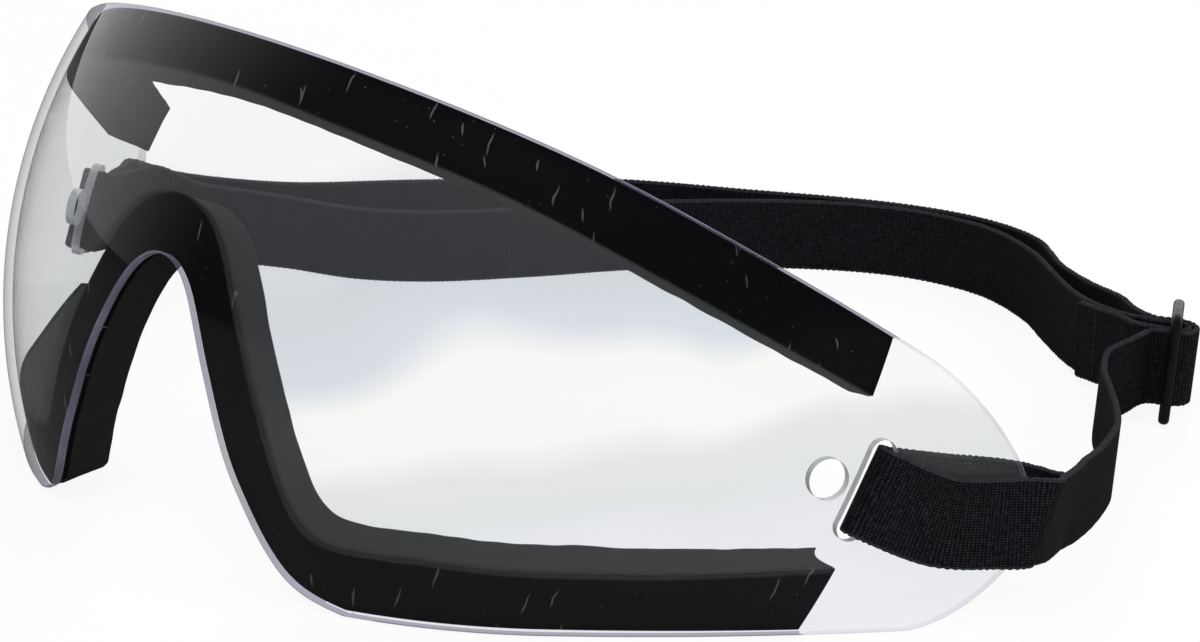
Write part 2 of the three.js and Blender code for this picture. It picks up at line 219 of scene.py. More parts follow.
def mesh_object(name, points, faces, body, node, materials, uvs=None):
    mesh = bpy.data.meshes.new(name)
    mesh.from_pydata([tuple(p) for p in points], [], [tuple(f) for f in faces])
    mesh.validate()
    mesh.update()
    for surface in materials:
        mesh.materials.append(surface)
    if uvs is not None:
        layer = mesh.uv_layers.new(name="along_across")
        index = np.empty(len(mesh.loops), int)
        mesh.loops.foreach_get("vertex_index", index)
        layer.data.foreach_set("uv", np.asarray(uvs, float)[index].ravel())
    obj = bpy.data.objects.new(name, mesh)
    bpy.context.scene.collection.objects.link(obj)
    mesh.shade_smooth()
    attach(obj, body)
    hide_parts(node)
    return obj


def ring_faces(a, b):
    a, b = np.asarray(a), np.asarray(b)
    return np.stack([a, np.roll(a, -1), np.roll(b, -1), b], -1)


def plate(columns, rows, layers, lower, upper, end_pull=None):
    """A curved plate: layers are (depth, inset of its outline) from the outer face to the inner one.
    Its first and last layers are whole faces and the others only rings round the edge.
    Gives its points, its faces and where each point is along and across the lens, in mm."""
    points, places, faces, rings = [], [], [], []
    count = 0
    last = len(columns) - 1
    for k, (depth, inset) in enumerate(layers):
        reach = np.abs(columns).max()
        along = columns * (reach - inset) / reach
        if end_pull is not None:
            along = along - np.sign(along) * end_pull(depth) * (np.abs(along) / reach) ** 30
        low = lower(along, depth) + inset
        high = upper(along, depth) - inset
        height = low[:, None] + (high - low)[:, None] * np.linspace(0, 1, rows + 1)[None]
        spread = along[:, None] + 0 * height
        grid = lens_frame(spread, height, depth)[0]
        place = np.stack([spread, height], -1).reshape(-1, 2)
        index = np.arange((last + 1) * (rows + 1)).reshape(last + 1, rows + 1)
        ring = np.concatenate(
            [index[:-1, 0], index[-1, :-1], index[:0:-1, -1], index[0, :0:-1]]
        )
        if k in (0, len(layers) - 1):
            quads = np.stack([index[:-1, :-1], index[1:, :-1], index[1:, 1:], index[:-1, 1:]], -1)
            quads = quads.reshape(-1, 4)
            faces.append((quads if k == 0 else quads[:, ::-1]) + count)
            points.append(grid.reshape(-1, 3))
            places.append(place)
            rings.append(ring + count)
            count += grid.shape[0] * grid.shape[1]
        else:
            points.append(grid.reshape(-1, 3)[ring])
            places.append(place[ring])
            rings.append(np.arange(len(ring)) + count)
            count += len(ring)
    for a, b in zip(rings, rings[1:]):
        faces.append(ring_faces(b, a))
    return np.concatenate(points), np.concatenate(faces), np.concatenate(places)


def even_columns(end, step):
    return np.linspace(-end, end, 2 * int(end / step) + 1)


# Materials.


def material(name):
    m = bpy.data.materials.new(name)
    m.use_nodes = True
    nodes, links = m.node_tree.nodes, m.node_tree.links
    return m, nodes, links, nodes["Principled BSDF"]


def socket_ramp(nodes, links, source, stops):
    ramp = nodes.new("ShaderNodeValToRGB")
    links.new(source, ramp.inputs[0])
    while len(ramp.color_ramp.elements) < len(stops):
        ramp.color_ramp.elements.new(0.5)
    for element, (position, colour) in zip(ramp.color_ramp.elements, stops):
        element.position = position
        element.color = (*colour, 1) if hasattr(colour, "__len__") else (colour, colour, colour, 1)
    return ramp.outputs["Color"]


def noise_texture(nodes, links, scale, detail, roughness=0.5):
    place = nodes.new("ShaderNodeTexCoord")
    texture = nodes.new("ShaderNodeTexNoise")
    texture.inputs["Scale"].default_value = scale
    texture.inputs["Detail"].default_value = detail
    texture.inputs["Roughness"].default_value = roughness
    links.new(place.outputs["Object"], texture.inputs["Vector"])
    return texture.outputs["Fac"]


def mix_colour(nodes, links, factor, a, b):
    mix = nodes.new("ShaderNodeMix")
    mix.data_type = "RGBA"
    links.new(factor, mix.inputs[0])
    for value, socket in ((a, mix.inputs[6]), (b, mix.inputs[7])):
        if hasattr(value, "links"):
            links.new(value, socket)
        else:
            socket.default_value = (*value, 1)
    return mix.outputs[2]


def calc(nodes, links, operation, *values):
    node = nodes.new("ShaderNodeMath")
    node.operation = operation
    for value, socket in zip(values, node.inputs):
        if hasattr(value, "links"):
            links.new(value, socket)
        else:
            socket.default_value = value
    return node.outputs[0]


def map_range(nodes, links, value, start, end, to_start=0.0, to_end=1.0):
    node = nodes.new("ShaderNodeMapRange")
    node.inputs["From Min"].default_value = start
    node.inputs["From Max"].default_value = end
    node.inputs["To Min"].default_value = to_start
    node.inputs["To Max"].default_value = to_end
    links.new(value, node.inputs["Value"])
    return node


def mix_shader(nodes, links, factor, first, second):
    mix = nodes.new("ShaderNodeMixShader")
    links.new(factor, mix.inputs[0])
    links.new(first.outputs[0], mix.inputs[1])
    links.new(second.outputs[0], mix.inputs[2])
    return mix


def uv_place(nodes, name):
    node = nodes.new("ShaderNodeUVMap")
    node.uv_map = name
    return node.outputs[0]


def bump(nodes, links, height, strength, distance, shader):
    node = nodes.new("ShaderNodeBump")
    node.inputs["Strength"].default_value = strength
    node.inputs["Distance"].default_value = distance
    links.new(height, node.inputs["Height"])
    links.new(node.outputs["Normal"], shader.inputs["Normal"])


def bare_part(nodes, links):
    """1 where nothing is bonded behind the sheet and 0 over the bands."""
    split = nodes.new("ShaderNodeSeparateXYZ")
    links.new(uv_place(nodes, "off_band"), split.inputs[0])
    return map_range(nodes, links, split.outputs["X"], -0.05, 0.25).outputs[0]


def see_through(nodes, links, colour, haze, haze_colour, roughness):
    """Clear plastic: what is behind it, a haze over that, and a reflection where light enters."""
    through = nodes.new("ShaderNodeBsdfTransparent")
    links.new(colour, through.inputs["Color"])
    pale = nodes.new("ShaderNodeBsdfDiffuse")
    pale.inputs["Color"].default_value = (*haze_colour, 1)
    hazed = mix_shader(nodes, links, haze, through, pale)
    gloss = nodes.new("ShaderNodeBsdfGlossy")
    gloss.inputs["Color"].default_value = (1, 1, 1, 1)
    gloss.inputs["Roughness"].default_value = roughness
    fresnel = nodes.new("ShaderNodeFresnel")
    fresnel.inputs["IOR"].default_value = LENS_INDEX
    side = nodes.new("ShaderNodeNewGeometry")
    entering = calc(nodes, links, "SUBTRACT", 1.0, side.outputs["Backfacing"])
    reflected = calc(nodes, links, "MULTIPLY", fresnel.outputs[0], entering)
    mix = mix_shader(nodes, links, reflected, hazed, gloss)
    links.new(mix.outputs[0], nodes["Material Output"].inputs["Surface"])


def lens_sheet_material():
    """The clear sheet: hazy where it is bare, with painted reflections and shade in soft bands from the
    brow to the cheek.
    """
    m, nodes, links, shader = material("lens_clear")
    nodes.remove(shader)
    place = nodes.new("ShaderNodeTexCoord")
    spot = nodes.new("ShaderNodeSeparateXYZ")
    links.new(place.outputs["Object"], spot.inputs[0])
    wave = noise_texture(nodes, links, 22.0, 1.0)
    level = calc(nodes, links, "MULTIPLY_ADD", spot.outputs["Z"], 10.0, 0.16)
    level = calc(nodes, links, "MULTIPLY_ADD", spot.outputs["X"], -2.0, level)
    level = calc(nodes, links, "MULTIPLY_ADD", wave, 0.3, level)
    # Painted reflections and shade: grey-blue, green-grey and near-white bands over the see-through
    # colour, set by height and side, broken by low noise.
    painted_tint = socket_ramp(
        nodes, links, level,
        [(0.22, (0.945, 0.95, 0.97)), (0.37, (0.92, 0.925, 0.95)), (0.43, (0.885, 0.9, 0.895)),
         (0.49, (0.9, 0.91, 0.9)), (0.54, (0.99, 0.985, 0.98)), (0.64, (0.99, 0.985, 0.975)),
         (0.7, (0.84, 0.865, 0.895)), (0.8, (0.83, 0.845, 0.865)), (1.0, (0.97, 0.975, 0.98))],
    )
    # The half towards the wearer's right has no painted bands, only an even pale tint.
    plain = map_range(nodes, links, spot.outputs["X"], 0.01, -0.03)
    painted_tint = mix_colour(nodes, links, plain.outputs[0], painted_tint, (0.975, 0.98, 0.98))
    haze = calc(nodes, links, "MULTIPLY", bare_part(nodes, links), 0.016)
    see_through(nodes, links, painted_tint, haze, (0.86, 0.9, 0.94), 0.02)
    return m


def lens_edge_material():
    """The sheet's polished outline: the dark of the bands bonded behind it is painted in as a darker
    see-through tint, a painted reflection.
    """
    m, nodes, links, shader = material("lens_edge")
    nodes.remove(shader)
    # Painted reflection: the edge's see-through tint is dark over the bonded bands and pale away from
    # them.
    painted_tint = mix_colour(nodes, links, bare_part(nodes, links), (0.46, 0.455, 0.49), (0.95, 0.95, 0.96))
    streak = socket_ramp(nodes, links, noise_texture(nodes, links, 60.0, 2.0), [(0.3, 0.1), (0.7, 0.3)])
    see_through(nodes, links, painted_tint, streak, (0.47, 0.44, 0.62), 0.15)
    return m


def rim_material():
    """The cut wall of a hole: the same plastic, left frosted by the tool."""
    m, nodes, links, shader = material("lens_rim")
    marks = noise_texture(nodes, links, 900.0, 2.0)
    links.new(mix_colour(nodes, links, marks, (0.3, 0.31, 0.34), (0.52, 0.53, 0.57)),
              shader.inputs["Base Color"])
    shader.inputs["Transmission Weight"].default_value = 0.4
    shader.inputs["IOR"].default_value = LENS_INDEX
    shader.inputs["Roughness"].default_value = 0.45
    return m


lens_material = lens_sheet_material()
edge_material = lens_edge_material()
rim = rim_material()


def scuff_marks(nodes, links, size, turn, share, reach):
    """Scattered marks: of cells this big in mm, a share carry one mark as long as reach of the cell."""
    bend = nodes.new("ShaderNodeTexNoise")
    bend.inputs["Scale"].default_value = 0.3
    place = uv_place(nodes, "along_across")
    links.new(place, bend.inputs["Vector"])
    bent = nodes.new("ShaderNodeVectorMath")
    bent.operation = "MULTIPLY_ADD"
    bent.inputs[1].default_value = (1.6, 1.6, 0)
    links.new(bend.outputs["Color"], bent.inputs[0])
    links.new(place, bent.inputs[2])
    mapping = nodes.new("ShaderNodeMapping")
    mapping.vector_type = "TEXTURE"
    mapping.inputs["Rotation"].default_value = (0, 0, turn)
    mapping.inputs["Scale"].default_value = (*size, 1)
    links.new(bent.outputs[0], mapping.inputs["Vector"])
    cells = nodes.new("ShaderNodeTexVoronoi")
    cells.voronoi_dimensions = "2D"
    cells.inputs["Scale"].default_value = 1.0
    links.new(mapping.outputs["Vector"], cells.inputs["Vector"])
    pick = nodes.new("ShaderNodeSeparateColor")
    links.new(cells.outputs["Color"], pick.inputs[0])
    chosen = calc(nodes, links, "GREATER_THAN", pick.outputs[0], 1 - share)
    mark = socket_ramp(nodes, links, cells.outputs["Distance"], [(0.6 * reach, 1.0), (reach, 0.0)])
    return calc(nodes, links, "MULTIPLY", chosen, mark)


# Scratches across the band, shorter leaning ones, and nicks: the values scuff_marks takes.
SCUFFS = (
    ((1.5, 15.0), 0.12, 0.1, 0.14),
    ((1.7, 9.0), 0.4, 0.07, 0.13),
    ((1.9, 1.9), 0.0, 0.08, 0.07),
)


def foam_material(name, dark, light, specular, scuffs):
    m, nodes, links, shader = material(name)
    grain = noise_texture(nodes, links, 2600.0, 3.0, roughness=0.7)
    broad = noise_texture(nodes, links, 90.0, 2.0)
    shade = socket_ramp(nodes, links, broad, [(0.3, 0.0), (0.7, 0.3)])
    colour = mix_colour(nodes, links, calc(nodes, links, "MAXIMUM", grain, shade), dark, light)
    if scuffs:
        marks = 0.0
        for kind in SCUFFS:
            marks = calc(nodes, links, "MAXIMUM", marks, scuff_marks(nodes, links, *kind))
        colour = mix_colour(nodes, links, marks, colour, (0.075, 0.08, 0.08))
    links.new(colour, shader.inputs["Base Color"])
    shader.inputs["Roughness"].default_value = 0.9
    shader.inputs["Specular IOR Level"].default_value = specular
    bump(nodes, links, grain, 0.05 if scuffs else 0.25, 0.0001, shader)
    return m


tape_material = foam_material(
    "bonded_face", (0.001, 0.0014, 0.0016), (0.0036, 0.0046, 0.0046), 0.05, True
)
foam_side = foam_material("foam", (0.004, 0.0046, 0.0042), (0.016, 0.0175, 0.016), 0.15, False)


def webbing_material():
    """Knitted elastic: fine ribs, courses across them, fuzz over both, and a paler selvedge."""
    m, nodes, links, shader = material("webbing")
    split = nodes.new("ShaderNodeSeparateXYZ")
    links.new(uv_place(nodes, "along_across"), split.inputs[0])
    fuzz = noise_texture(nodes, links, 1300.0, 3.0, roughness=0.8)

    def ridge(source, period, phase):
        turn = calc(nodes, links, "MULTIPLY_ADD", source, 2 * math.pi / period, phase)
        wave = calc(nodes, links, "SINE", turn)
        return calc(nodes, links, "MULTIPLY_ADD", wave, 0.5, 0.5)

    ribs = ridge(split.outputs["Y"], RIB_PITCH, calc(nodes, links, "MULTIPLY", fuzz, 5.0))
    courses = ridge(split.outputs["X"], COURSE_PITCH, calc(nodes, links, "MULTIPLY", ribs, math.pi))
    knit = calc(nodes, links, "MULTIPLY", ribs, courses)
    total = calc(nodes, links, "MULTIPLY_ADD", fuzz, 1.1, calc(nodes, links, "MULTIPLY", knit, 0.5))
    colour = socket_ramp(
        nodes, links, total,
        [(0.3, (0.0008, 0.0008, 0.0011)), (0.7, (0.0036, 0.0036, 0.0048)), (1.0, (0.02, 0.02, 0.026))],
    )
    edge = calc(nodes, links, "ABSOLUTE", split.outputs["Y"])
    edge = calc(nodes, links, "GREATER_THAN", edge, STRAP_WIDTH / 2 - PALE_SELVEDGE)
    edge = calc(nodes, links, "MULTIPLY", edge, fuzz)
    colour = mix_colour(nodes, links, edge, colour, (0.03, 0.032, 0.036))
    links.new(colour, shader.inputs["Base Color"])
    shader.inputs["Roughness"].default_value = 0.85
    shader.inputs["Specular IOR Level"].default_value = 0.12
    bump(nodes, links, total, 0.6, 0.0002, shader)
    return m


def plastic_material():
    m, nodes, links, shader = material("slider_plastic")
    grain = noise_texture(nodes, links, 900.0, 2.0)
    colour = mix_colour(nodes, links, grain, (0.0025, 0.0025, 0.003), (0.006, 0.006, 0.0065))
    links.new(colour, shader.inputs["Base Color"])
    level = socket_ramp(nodes, links, grain, [(0.3, 0.22), (0.7, 0.34)])
    links.new(level, shader.inputs["Roughness"])
    shader.inputs["Specular IOR Level"].default_value = 0.28
    bump(nodes, links, grain, 0.05, 0.0001, shader)
    return m


def thread_material():
    m, nodes, links, shader = material("thread")
    twist = noise_texture(nodes, links, 3000.0, 2.0)
    colour = mix_colour(nodes, links, twist, (0.003, 0.003, 0.004), (0.02, 0.02, 0.023))
    links.new(colour, shader.inputs["Base Color"])
    shader.inputs["Roughness"].default_value = 0.7
    bump(nodes, links, twist, 0.3, 0.0001, shader)
    return m


# The lens, with its vent holes and strap slots.


def rounded_prism(outline, along, height, depth=12.0):
    """A cutter that stands through the lens at one place."""
    point, tangent, up, outward = (v.reshape(3) for v in lens_frame(along, height))
    count = len(outline)
    points = []
    for level in (-depth / 2, depth / 2):
        points += [point + tangent * u + up * v + outward * level for u, v in outline]
    faces = [list(range(count))[::-1], [count + i for i in range(count)]]
    faces += [[i, (i + 1) % count, count + (i + 1) % count, count + i] for i in range(count)]
    mesh = bpy.data.meshes.new("cutter")
    mesh.from_pydata([tuple(p) for p in metres(points)], [], faces)
    mesh.materials.append(rim)
    cutter = bpy.data.objects.new("cutter", mesh)
    bpy.context.scene.collection.objects.link(cutter)
    return cutter


def stadium(length, width, count=24):
    radius, reach = width / 2, length / 2 - width / 2
    turns = np.linspace(0, math.pi, count + 1)
    top = [(radius * math.cos(t), reach + radius * math.sin(t)) for t in turns]
    return top + [(-x, -y) for x, y in top]


def build_lens():
    turns = np.linspace(0.42, 1.0, 34) * math.pi / 2
    tips = TEMPLE_ROUND_TOP + (TEMPLE_END - TEMPLE_ROUND_TOP) * np.sin(turns)
    tips = tips[tips < TEMPLE_END - 0.02]
    middle = even_columns(tips[0] - LENS_COLUMN, LENS_COLUMN)
    columns = np.concatenate([-tips[::-1], middle, tips])
    layers = [(0.0, 0.4), (0.2, 0.12), (0.5, 0.0), (LENS_THICKNESS - 0.3, 0.0),
              (LENS_THICKNESS - 0.1, 0.06), (LENS_THICKNESS, 0.22)]
    points, faces, _ = plate(columns, LENS_ROWS, layers, lens_bottom, lens_top)
    lens = mesh_object("lens_sheet", metres(points), faces, "front", "lens",
                       [lens_material, edge_material, rim])
    circle = [(VENT["radius"] * math.cos(t), VENT["radius"] * math.sin(t))
              for t in np.linspace(0, 2 * math.pi, 49)[:-1]]
    cutters = []
    for side in (-1, 1):
        cutters.append(rounded_prism(circle, side * VENT["along"], VENT["height"]))
        cutters.append(rounded_prism(stadium(SLOT["length"], SLOT["width"]),
                                     side * SLOT["along"], SLOT["height"]))
    for cutter in cutters:
        modifier = lens.modifiers.new("hole", "BOOLEAN")
        modifier.operation = "DIFFERENCE"
        modifier.solver = "EXACT"
        modifier.material_mode = "TRANSFER"
        modifier.object = cutter
    bpy.context.view_layer.update()
    depsgraph = bpy.context.evaluated_depsgraph_get()
    mesh = bpy.data.meshes.new_from_object(lens.evaluated_get(depsgraph))
    lens.modifiers.clear()
    lens.data = mesh
    for cutter in cutters:
        bpy.data.objects.remove(cutter)
    # Faces on the two broad sides take the true surface's normals; the rest is the cut edge.
    mesh.shade_smooth()
    coordinates = np.empty(len(mesh.vertices) * 3)
    mesh.vertices.foreach_get("co", coordinates)
    coordinates = coordinates.reshape(-1, 3)
    along, height, normals = lens_place(coordinates)
    vertex = np.empty(len(mesh.loops), int)
    mesh.loops.foreach_get("vertex_index", vertex)
    # How far, in mm, each point is outside the bonded bands.
    length = np.abs(along)
    brow = np.maximum(brow_inner(along) - height, length - BROW_FOAM_END)
    cheek = np.maximum(height - nose_inner(along), length - CHEEK_FOAM_END)
    layer = mesh.uv_layers.new(name="off_band")
    layer.data.foreach_set("uv", np.stack([np.minimum(brow, cheek), height], -1)[vertex].ravel())
    loop_normals = np.zeros((len(mesh.loops), 3))
    names = [m.name for m in mesh.materials]
    edge_slot, rim_slot = names.index(edge_material.name), names.index(rim.name)
    for face in mesh.polygons:
        outward = lens_place(np.array(face.center)[None])[2][0]
        facing = float(np.dot(outward, np.array(face.normal)))
        loops = list(face.loop_indices)
        if abs(facing) > BROAD_FACING:
            loop_normals[loops] = normals[vertex[loops]] * np.sign(facing)
        else:
            if face.material_index != rim_slot:
                face.material_index = edge_slot
            loop_normals[loops] = np.array(face.normal)
    mesh.normals_split_custom_set([tuple(n) for n in loop_normals])


build_lens()


# The foam pads and the faces they are bonded by.


def roughen(points, amount, cell):
    """Cut foam is never quite straight: moves points a little, smoothly from place to place."""
    moved = np.array(points)
    for i, p in enumerate(points):
        v = noise.noise_vector(Vector(p) / cell)
        moved[i] += np.array(v) * amount
    return moved


def foam_layers(outer, inner, step=1.1, rounding=0.5):
    depths = np.linspace(outer + 0.15, inner - rounding, int((inner - outer) / step) + 1)
    layers = [(outer, 0.12)] + [(d, 0.0) for d in depths]
    layers += [(inner - 0.3 * rounding, 0.3 * rounding), (inner, rounding)]
    return layers


def brow_low(along, depth):
    return brow_inner(along)


def brow_high(along, depth):
    return brow_edge(along) - EDGE_INSET


def cheek_low(along, depth):
    return lens_bottom(along, np.zeros_like(along)) + EDGE_INSET


def cheek_high(along, depth):
    return nose_inner(along)


def scoop(depth):
    """The cheek foam's rear end is cut hollow."""
    part = (depth - FOAM_OUTER) / (FOAM_INNER - FOAM_OUTER)
    return SCOOP_DEPTH * math.sin(math.pi * min(max(part, 0.0), 1.0))


# Without a seed, noise_vector takes its offset from the clock and every run differs.
noise.seed_set(FOAM_SEED)

for name, end, low, high, pull in (
    ("brow", BROW_FOAM_END, brow_low, brow_high, None),
    ("cheek", CHEEK_FOAM_END, cheek_low, cheek_high, scoop),
):
    columns = even_columns(end, PAD_COLUMN)
    points, faces, _ = plate(columns, 12, foam_layers(FOAM_OUTER, FOAM_INNER), low, high, pull)
    foam = mesh_object(name + "_pad", roughen(metres(points), 0.16 * MM, 4 * MM), faces, "front",
                       name + "_foam", [foam_side])
    columns = even_columns(end - EDGE_INSET, PAD_COLUMN)
    layers = [(TAPE_OUTER, EDGE_INSET), (TAPE_INNER, EDGE_INSET)]
    points, faces, places = plate(columns, 10, layers, low, high)
    mesh_object(name + "_bond", metres(points), faces, "front", name + "_tape",
                [tape_material], places)


# The strap.

UPRIGHT = np.array([0.0, 0.0, 1.0])
LEANING = np.array([0.02, 0.19, 1.0]) / np.linalg.norm([0.02, 0.19, 1.0])
FACE = np.array([math.cos(SLIDER_ANGLE), math.sin(SLIDER_ANGLE), 0])
LENGTH = np.array([-math.sin(SLIDER_ANGLE), math.cos(SLIDER_ANGLE), 0])


def station(x, y, z=STRAP_REST, width=UPRIGHT):
    return np.array([x, y, z], float), width


def beside_lens(side, along, inward, height=SLOT["height"]):
    point, _, up, _ = lens_frame(side * along, height, inward)
    return point.reshape(3), up.reshape(3)


def slot_turn(side):
    arc = []
    for degrees in range(-90, 91, 15):
        angle = math.radians(degrees)
        arc.append(beside_lens(side, SLOT_FOLD_ALONG - SLOT_FOLD * math.cos(angle),
                               LENS_THICKNESS / 2 - SLOT_FOLD * math.sin(angle)))
    return [
        beside_lens(side, 152, 4.6, -6.4), beside_lens(side, 140, 3.6, -9.6), *arc,
        beside_lens(side, 140, -1.7, -12.2), beside_lens(side, 150, -2.1, -8.9),
        beside_lens(side, 156.6, -2.3, -6.3),
    ]


def beside_slider(across, out, lower=0.0):
    point = SLIDER_CENTRE + LENGTH * across + FACE * out
    return point - UPRIGHT * lower, UPRIGHT


def bar_turn(radius):
    turns = [math.radians(d) for d in range(-90, 91, 15)]
    return [beside_slider(radius * math.sin(t), radius * math.cos(t)) for t in turns]


head = [
    station(99.3, 103.6, 12.6, LEANING), station(100.3, 100.4, 13.6, LEANING),
    station(101, 93, 16.6, LEANING),
    *slot_turn(1),
    station(105.8, 93.6, 16.4, LEANING),
]
path = head + [
    station(101.7, 102.7, 13.8, LEANING),
    station(97.8, 111.2, 11.6, LEANING), station(94.7, 119.4, 10), station(91.5, 128.6, 8.7),
    station(88, 138, 8), station(84.2, 146.6, 7.7), station(79.4, 153.6),
    station(72.6, 162), station(66.4, 169.4, 8), station(62.9, 176.2, 8.7),
    beside_slider(-8.8, -7.6, 0.8), beside_slider(-RUN_RADIUS - 0.1, -4, 0.1),
    *bar_turn(RUN_RADIUS),
    beside_slider(RUN_RADIUS + 0.2, -3.8, 0.1), beside_slider(11, -8, 1.1), station(45, 207.6, 8.6),
    station(34.5, 213), station(24.5, 218), station(18, 223.6), station(12, 228.4), station(3, 231),
    station(-8, 230), station(-20, 225), station(-33, 216), station(-45, 206), station(-66, 188.5),
    station(-79, 170.4), station(-91, 151), station(-102.6, 127, 8.2),
    station(-107.2, 108, 11.4, LEANING), station(-107.6, 94.4, 15.2, LEANING),
    *slot_turn(-1)[::-1],
    station(-99.6, 95, 14.6, LEANING), station(-99.8, 108, 10.8, LEANING), station(-94.6, 119.6, 8.4),
    station(-84, 127.4), station(-74, 138), station(-63.5, 158), station(-53.7, 180),
    station(-34.5, 208.6), station(-20, 221.6), station(-9, 226), station(2, 226.4),
    station(16, 220.4), station(26, 212.6), station(35.6, 205.4),
    beside_slider(15.6, -16.4, 2.4), beside_slider(6, -9, 1), beside_slider(SEWN_RADIUS, -4),
    *bar_turn(SEWN_RADIUS)[::-1],
    beside_slider(-SEWN_RADIUS + 0.3, -3.8), beside_slider(0.2, -7.4, 0.5),
    beside_slider(4.8, -10.6, 1), beside_slider(9.5, -14.4, 1.7), beside_slider(14.3, -18.1, 2.4),
]


def through(points, widths, step):
    """A centripetal curve through points, sampled evenly, with the width's direction at each sample."""
    p = np.vstack([2 * points[0] - points[1], points, 2 * points[-1] - points[-2]])
    centres, sides = [], []
    for i in range(1, len(p) - 2):
        gap = [max(np.linalg.norm(p[j + 1] - p[j]) ** 0.5, 1e-4) for j in (i - 1, i, i + 1)]
        t1 = ((p[i] - p[i - 1]) / gap[0] - (p[i + 1] - p[i - 1]) / (gap[0] + gap[1])
              + (p[i + 1] - p[i]) / gap[1]) * gap[1]
        t2 = ((p[i + 1] - p[i]) / gap[1] - (p[i + 2] - p[i]) / (gap[1] + gap[2])
              + (p[i + 2] - p[i + 1]) / gap[2]) * gap[1]
        parts = max(2, round(float(np.linalg.norm(p[i + 1] - p[i])) / step))
        for t in np.arange(parts) / parts:
            centres.append(p[i] * (2 * t**3 - 3 * t**2 + 1) + p[i + 1] * (3 * t**2 - 2 * t**3)
                           + t1 * (t**3 - 2 * t**2 + t) + t2 * (t**3 - t**2))
            sides.append(widths[i - 1] * (1 - t) + widths[i] * t)
    centres.append(points[-1])
    sides.append(widths[-1])
    return np.array(centres), np.array(sides)


def strap_frames(step):
    centres, sides = through(np.array([p for p, _ in path]), np.array([w for _, w in path]), step)
    forward = np.gradient(centres, axis=0)
    forward /= np.linalg.norm(forward, axis=1)[:, None]
    sides = sides - forward * (sides * forward).sum(1)[:, None]
    sides /= np.linalg.norm(sides, axis=1)[:, None]
    normals = np.cross(forward, sides)
    length = np.r_[0, np.cumsum(np.linalg.norm(np.diff(centres, axis=0), axis=1))]
    return centres, forward, sides, normals, length


def ribbon_section():
    """The outline of the webbing's section: flat faces with soft selvedges."""
    half, thick, radius = STRAP_WIDTH / 2, STRAP_THICKNESS / 2, 0.45
    top = [(u, thick) for u in np.linspace(-half + 0.6, half - 0.6, 13)]
    edge = [(half - radius + radius * math.sin(t), thick * math.cos(t))
            for t in np.linspace(0.3, math.pi - 0.3, 6)]
    bottom = [(-u, -v) for u, v in top]
    other = [(-u, -v) for u, v in edge]
    return np.array(top + edge + bottom + other)


centres, forward, sides, normals, length = strap_frames(STRAP_STEP)
section = ribbon_section()
selvedge = np.abs(section[:, 0]) > STRAP_WIDTH / 2 - TOOTHED_SELVEDGE
teeth = TOOTH * np.sin(length * 2 * math.pi / TOOTH_PITCH)[:, None] * np.sign(section[:, 0])[None]
teeth = teeth * selvedge[None]
across = section[None, :, 0] + teeth
points = (centres[:, None] + sides[:, None] * across[..., None]
          + normals[:, None] * section[None, :, 1, None])
ring = np.arange(len(section))
faces = []
for i in range(len(centres) - 1):
    faces += ring_faces(ring + i * len(section), ring + (i + 1) * len(section)).tolist()
faces.append(ring.tolist())
faces.append((ring + (len(centres) - 1) * len(section)).tolist()[::-1])
uvs = np.stack(np.broadcast_arrays(length[:, None], section[None, :, 0]), -1).reshape(-1, 2)
mesh_object("webbing", metres(points.reshape(-1, 3)), faces, "strap", "strap",
            [webbing_material()], uvs)


# The slider.


def rounded_rectangle(x, y, width, height, radius, count=8):
    corners = [(x + width - radius, y + radius, -90), (x + width - radius, y + height - radius, 0),
               (x + radius, y + height - radius, 90), (x + radius, y + radius, 180)]
    outline = []
    for cx, cy, start in corners:
        for k in range(count + 1):
            t = math.radians(start + 90 * k / count)
            outline.append((cx + radius * math.cos(t), cy + radius * math.sin(t)))
    return outline


def build_slider():
    curve = bpy.data.curves.new("slider", "CURVE")
    curve.dimensions = "2D"
    curve.fill_mode = "BOTH"
    curve.extrude = (SLIDER["thickness"] / 2 - SLIDER["edge"]) * MM
    curve.bevel_depth = SLIDER["edge"] * MM
    curve.bevel_resolution = 4
    curve.offset = -SLIDER["edge"] * MM
    w = SLIDER_WINDOW
    shapes = [rounded_rectangle(-SLIDER["length"] / 2, -SLIDER["height"] / 2, SLIDER["length"],
                                SLIDER["height"], SLIDER["corner"])]
    for x in (-w["to"], w["from"]):
        window = rounded_rectangle(x, -w["height"] / 2, w["to"] - w["from"], w["height"], w["corner"])
        shapes.append(window[::-1])
    for shape in shapes:
        spline = curve.splines.new("POLY")
        spline.points.add(len(shape) - 1)
        for point, (x, y) in zip(spline.points, shape):
            point.co = (x * MM, y * MM, 0, 1)
        spline.use_cyclic_u = True
    temporary = bpy.data.objects.new("slider_curve", curve)
    bpy.context.scene.collection.objects.link(temporary)
    bpy.context.view_layer.update()
    depsgraph = bpy.context.evaluated_depsgraph_get()
    mesh = bpy.data.meshes.new_from_object(temporary.evaluated_get(depsgraph))
    bpy.data.objects.remove(temporary)
    matrix = np.eye(4)
    matrix[:3, 0], matrix[:3, 1], matrix[:3, 2] = LENGTH, UPRIGHT, FACE
    matrix[:3, 3] = metres(SLIDER_CENTRE)
    mesh.transform(Matrix(matrix.tolist()))
    return mesh


slider_mesh = build_slider()
slider_points = [tuple(v.co) for v in slider_mesh.vertices]
slider_faces = [tuple(f.vertices) for f in slider_mesh.polygons]
slider = mesh_object("three_bar_slider", slider_points, slider_faces, "slider", "slider",
                     [plastic_material()])
weld = slider.modifiers.new("weld", "WELD")
weld.merge_threshold = 0.01 * MM


# Stitching: a row of short stitches on the webbing's face.


thread = thread_material()


